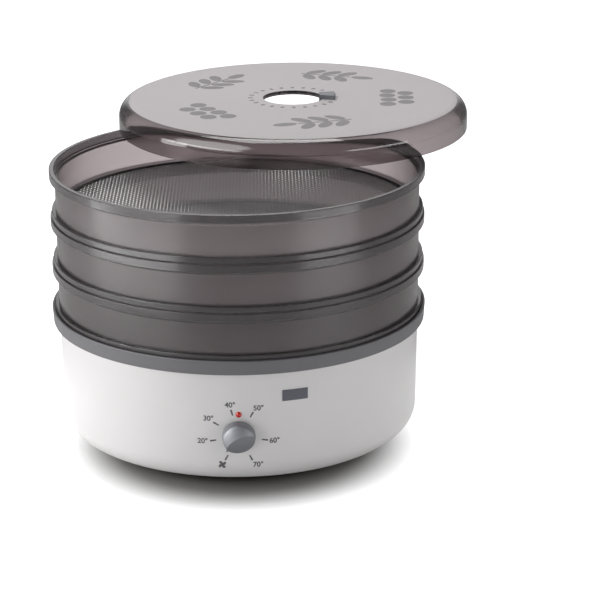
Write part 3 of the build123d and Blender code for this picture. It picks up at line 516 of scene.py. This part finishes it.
def on_lid(flat):
    """Lays flat points on the lid's top, measured from its middle."""
    return (flat + (LID_X, LID_Y, LID_TOP)) * MM


DASH_COUNT = 24
DASH_IN, DASH_OUT, DASH_W = 37.5, 42.0, 3.2
dash = [(-DASH_W / 2, DASH_IN), (DASH_W / 2, DASH_IN), (DASH_W / 2, DASH_OUT), (-DASH_W / 2, DASH_OUT)]
lid_outlines = [turned(dash, 360 * k / DASH_COUNT, (0, 0)) for k in range(DASH_COUNT)]
LEAF_L, LEAF_W = 22.0, 11.0
LEAF_LEAN, LEAF_ROOT, LEAF_RISES = 52.0, 2.4, (-20, -4, 12)
STEM_L, STEM_W = 50.0, 2.4
TIP_GAP = 1.0
LEAF_STEPS = 13
bow = np.linspace(0, pi, LEAF_STEPS)
right_side = np.column_stack([np.sin(bow) * LEAF_W / 2, (1 - np.cos(bow)) * LEAF_L / 2])
leaf = np.vstack([right_side, right_side[-2:0:-1] * (-1, 1)])
stem = np.array([(-1, -1), (1, -1), (1, 1), (-1, 1)]) * (STEM_W / 2, STEM_L / 2)
sprig = [stem, leaf + (0, STEM_L / 2 + TIP_GAP)]
sprig += [turned(leaf, hand * LEAF_LEAN, (hand * LEAF_ROOT, rise)) for rise in LEAF_RISES for hand in (-1, 1)]
lying_sprig = [turned(outline, 90, (0, 0)) for outline in sprig]
DISC_R = 7.6
DISC_PLACES = ((-25, -8), (-8, -9), (9, -8), (26, -9), (-17, 8), (0, 8), (18, 8))
DISC_STEPS = 24
ring = np.linspace(0, 2 * pi, DISC_STEPS, endpoint=False)
disc = np.column_stack([np.sin(ring), -np.cos(ring)]) * DISC_R
cluster = [disc + place for place in DISC_PLACES]
MOTIF_R = 97.0
motifs = ((20, lying_sprig), (92, cluster), (164, lying_sprig), (236, cluster), (308, lying_sprig))
for turn, motif in motifs:
    middle = np.array([sin(radians(turn)), cos(radians(turn))]) * MOTIF_R
    lid_outlines += [turned(outline, turn, middle) for outline in motif]
# Screen-printed ink: flat grey on the satin, a shade darker than the lid.
lid_ink = moulded("screen_printed_ink", "#858184", "#7f7b7e",
                  rough=0.5, grit_mm=0.5, grit_depth_mm=0.004, IOR=1.5)
points, faces = gather([prism(outline, -INK_SUNK, INK_PROUD) for outline in lid_outlines])
piece("lid_print", on_lid(points), faces, lid_ink, "lid")

# Time marker
# A small C-shaped clip of grey ABS, moulded in one piece.
# It grips the vent's lip and is pushed along it by hand.

# Moulded ABS: a plain bluish grey with a soft sheen.
marker_abs = moulded("grey_abs_marker", "#6d7076", "#65686e",
                     rough=0.4, grit_mm=0.6, grit_depth_mm=0.01, IOR=1.53)
dress(marker_abs, "time_marker")

# Table
# A white table that runs on into a white background: seen straight, through clear plastic or mirrored from
# close by, it glows white, apart from a painted shadow in front of the object. All else sees it as plain
# white.
# Its sizes are in metres.
FLOOR = 6.0
corners = [(-FLOOR, -FLOOR, 0), (FLOOR, -FLOOR, 0), (FLOOR, FLOOR, 0), (-FLOOR, FLOOR, 0)]
floor_mesh = bpy.data.meshes.new("table")
floor_mesh.from_pydata(corners, [], [(0, 1, 2, 3)])
floor = bpy.data.objects.new("table", floor_mesh)
bpy.context.scene.collection.objects.link(floor)
# Painted shadow: round a point a little in front of the object, the table's colour turns to a dark tone.
SHADE_AT = (0.0, 0.06, 0.0)
SHADE_IN, GLOW_IN, SHADE_OUT = 0.07, 0.105, 0.175
MIRROR_IN, MIRROR_OUT = 0.28, 0.36
PAINTED_SHADOW_TONE, TABLE_TONE, WHITE = "#45413a", "#e8e8e8", "#ffffff"
table_white = bpy.data.materials.new("white_table")
table_white.use_nodes = True
tree = table_white.node_tree
tree.nodes.clear()
ray = add(tree, "LightPath").outputs
place = add(tree, "TexCoord").outputs["Object"]
from_shade = add(tree, "VectorMath", {0: place, 1: SHADE_AT}, operation="ADD")
reach = add(tree, "VectorMath", {0: from_shade.outputs[0]}, operation="LENGTH").outputs["Value"]
shade, fade, near = [
    add(tree, "MapRange", {"Value": reach, "From Min": start, "From Max": stop},
        interpolation_type="SMOOTHSTEP").outputs["Result"]
    for start, stop in ((SHADE_IN, SHADE_OUT), (GLOW_IN, SHADE_OUT), (MIRROR_OUT, MIRROR_IN))
]
straight = add(tree, "Math", {0: ray["Is Camera Ray"], 1: ray["Is Transmission Ray"]}, operation="ADD")
mirrored = add(tree, "Math", {0: near, 1: ray["Is Glossy Ray"]}, operation="MULTIPLY")
seen = add(tree, "Math", {0: straight.outputs[0], 1: mirrored.outputs[0]}, operation="ADD", use_clamp=True)
glow_level = add(tree, "Math", {0: fade, 1: seen.outputs[0]}, operation="MULTIPLY")
bounce = add(tree, "Math", {0: shade, 1: ray["Is Diffuse Ray"]}, operation="MAXIMUM")
tone = add(tree, "Mix", {"Factor": bounce.outputs[0], "A": linear(PAINTED_SHADOW_TONE), "B": linear(TABLE_TONE)},
           data_type="RGBA")
plain = add(tree, "BsdfDiffuse", {"Color": tone.outputs["Result"]})
glow = add(tree, "Emission", {"Color": linear(WHITE), "Strength": glow_level.outputs[0]})
table_look = add(tree, "AddShader", {0: plain.outputs[0], 1: glow.outputs[0]})
add(tree, "OutputMaterial", {"Surface": table_look.outputs[0]})
floor_mesh.materials.append(table_white)

# Studio room
# A dim room with a white background. Only reflections show two more things: a white card upright behind
# the object, and a bright window high on the left. Both are placed by direction, in parts of a unit vector.
ROOM, BACK = 0.17, 1.0
CARD_IN, CARD_OUT, CARD_REAR = 0.16, 0.36, 0.6
WINDOW_AT = (-0.76, -0.44, 0.47)
WINDOW_IN, WINDOW_OUT, WINDOW = 0.93, 0.88, 4.5
world = bpy.data.worlds.new("studio")
bpy.context.scene.world = world
world.use_nodes = True
tree = world.node_tree
tree.nodes.clear()
ray = add(tree, "LightPath").outputs
direction = add(tree, "TexCoord").outputs["Generated"]
towards = add(tree, "SeparateXYZ", {"Vector": direction}).outputs
aside = add(tree, "Math", {0: towards["X"]}, operation="ABSOLUTE")
upright = add(tree, "MapRange", {"Value": aside.outputs[0], "From Min": CARD_OUT, "From Max": CARD_IN},
              interpolation_type="SMOOTHSTEP")
rear = add(tree, "Math", {0: towards["Y"], 1: CARD_REAR}, operation="GREATER_THAN")
card = add(tree, "Math", {0: upright.outputs["Result"], 1: rear.outputs[0]}, operation="MULTIPLY")
behind = add(tree, "MapRange", {"Value": card.outputs[0], "To Min": ROOM, "To Max": BACK})
facing = add(tree, "VectorMath", {0: direction, 1: WINDOW_AT}, operation="DOT_PRODUCT")
window = add(tree, "MapRange", {
    "Value": facing.outputs["Value"],
    "From Min": WINDOW_OUT,
    "From Max": WINDOW_IN,
    "To Max": WINDOW,
}, interpolation_type="SMOOTHSTEP")
mirrored = add(tree, "Math", {0: behind.outputs["Result"], 1: window.outputs["Result"]}, operation="ADD")
lit = add(tree, "Mix", {"Factor": ray["Is Glossy Ray"], "A": ROOM, "B": mirrored.outputs[0]},
          data_type="FLOAT")
straight = add(tree, "Math", {0: ray["Is Camera Ray"], 1: ray["Is Transmission Ray"]}, operation="ADD",
               use_clamp=True)
level = add(tree, "Mix", {"Factor": straight.outputs[0], "A": lit.outputs["Result"], "B": BACK},
            data_type="FLOAT")
sky = add(tree, "Background", {"Color": linear(WHITE), "Strength": level.outputs["Result"]})
add(tree, "OutputWorld", {"Surface": sky.outputs[0]})

# Lamps
# Two thin strips low by the table, an upright strip on the left, long narrow softboxes left and right,
# and one large softbox above. Places and sizes are in metres.


def softbox(name, place, aim, width, height, power):
    """A rectangular lamp at a place, turned towards an aim."""
    lamp = bpy.data.lights.new(name, "AREA")
    lamp.shape = "RECTANGLE"
    lamp.size = width
    lamp.size_y = height
    lamp.energy = power
    holder = bpy.data.objects.new(name, lamp)
    holder.location = place
    holder.rotation_euler = (Vector(aim) - Vector(place)).to_track_quat("-Z", "Y").to_euler()
    bpy.context.scene.collection.objects.link(holder)


softbox("left_low_strip", (-0.53, -0.31, 0.055), (0.05, 0.05, 0.055), width=0.66, height=0.05, power=0.6)
softbox("right_low_strip", (0.55, -0.42, 0.055), (0.05, 0.05, 0.055), width=0.45, height=0.05, power=0.33)
softbox("left_strip", (-1.2, -0.1, 0.27), (0, 0, 0.2), width=0.45, height=0.5, power=3.4)
softbox("left_softbox", (-1.24, -0.66, 0.5), (0, 0, 0.15), width=1.5, height=0.22, power=5.2)
softbox("right_softbox", (1.2, -0.76, 0.5), (0, 0, 0.15), width=1.1, height=0.22, power=3.4)
softbox("top_softbox", (-0.1, 0.3, 1.6), (0, 0, 0.1), width=1.0, height=0.8, power=13.2)

# Camera
# A long lens at the photograph's angle, two metres away and a little above the lid, turned by its
# small roll. Its focal length is given in pixels of the picture.
AIM = Vector((54.6, -1.0, 113.6)) * MM
DISTANCE = 2.0
AZIMUTH, ELEVATION, ROLL = 1.04, 18.59, -0.257
FOCAL_PX, IMAGE_PX, SENSOR_MM = 2230.1, 600, 36.0
azimuth, elevation, roll = radians(AZIMUTH), radians(ELEVATION), radians(ROLL)
forward = Vector((sin(azimuth) * cos(elevation), cos(azimuth) * cos(elevation), -sin(elevation)))
sideways = Vector((cos(azimuth), -sin(azimuth), 0))
right = sideways * cos(roll) + sideways.cross(forward) * sin(roll)
up = right.cross(forward)
lens = bpy.data.cameras.new("camera")
lens.sensor_width = SENSOR_MM
lens.lens = FOCAL_PX * SENSOR_MM / IMAGE_PX
camera = bpy.data.objects.new("camera", lens)
turn = Matrix((right, up, -forward)).transposed().to_4x4()
camera.matrix_world = Matrix.Translation(AIM - forward * DISTANCE) @ turn
bpy.context.scene.collection.objects.link(camera)
bpy.context.scene.camera = camera
bpy.context.scene.view_settings.view_transform = "Standard"
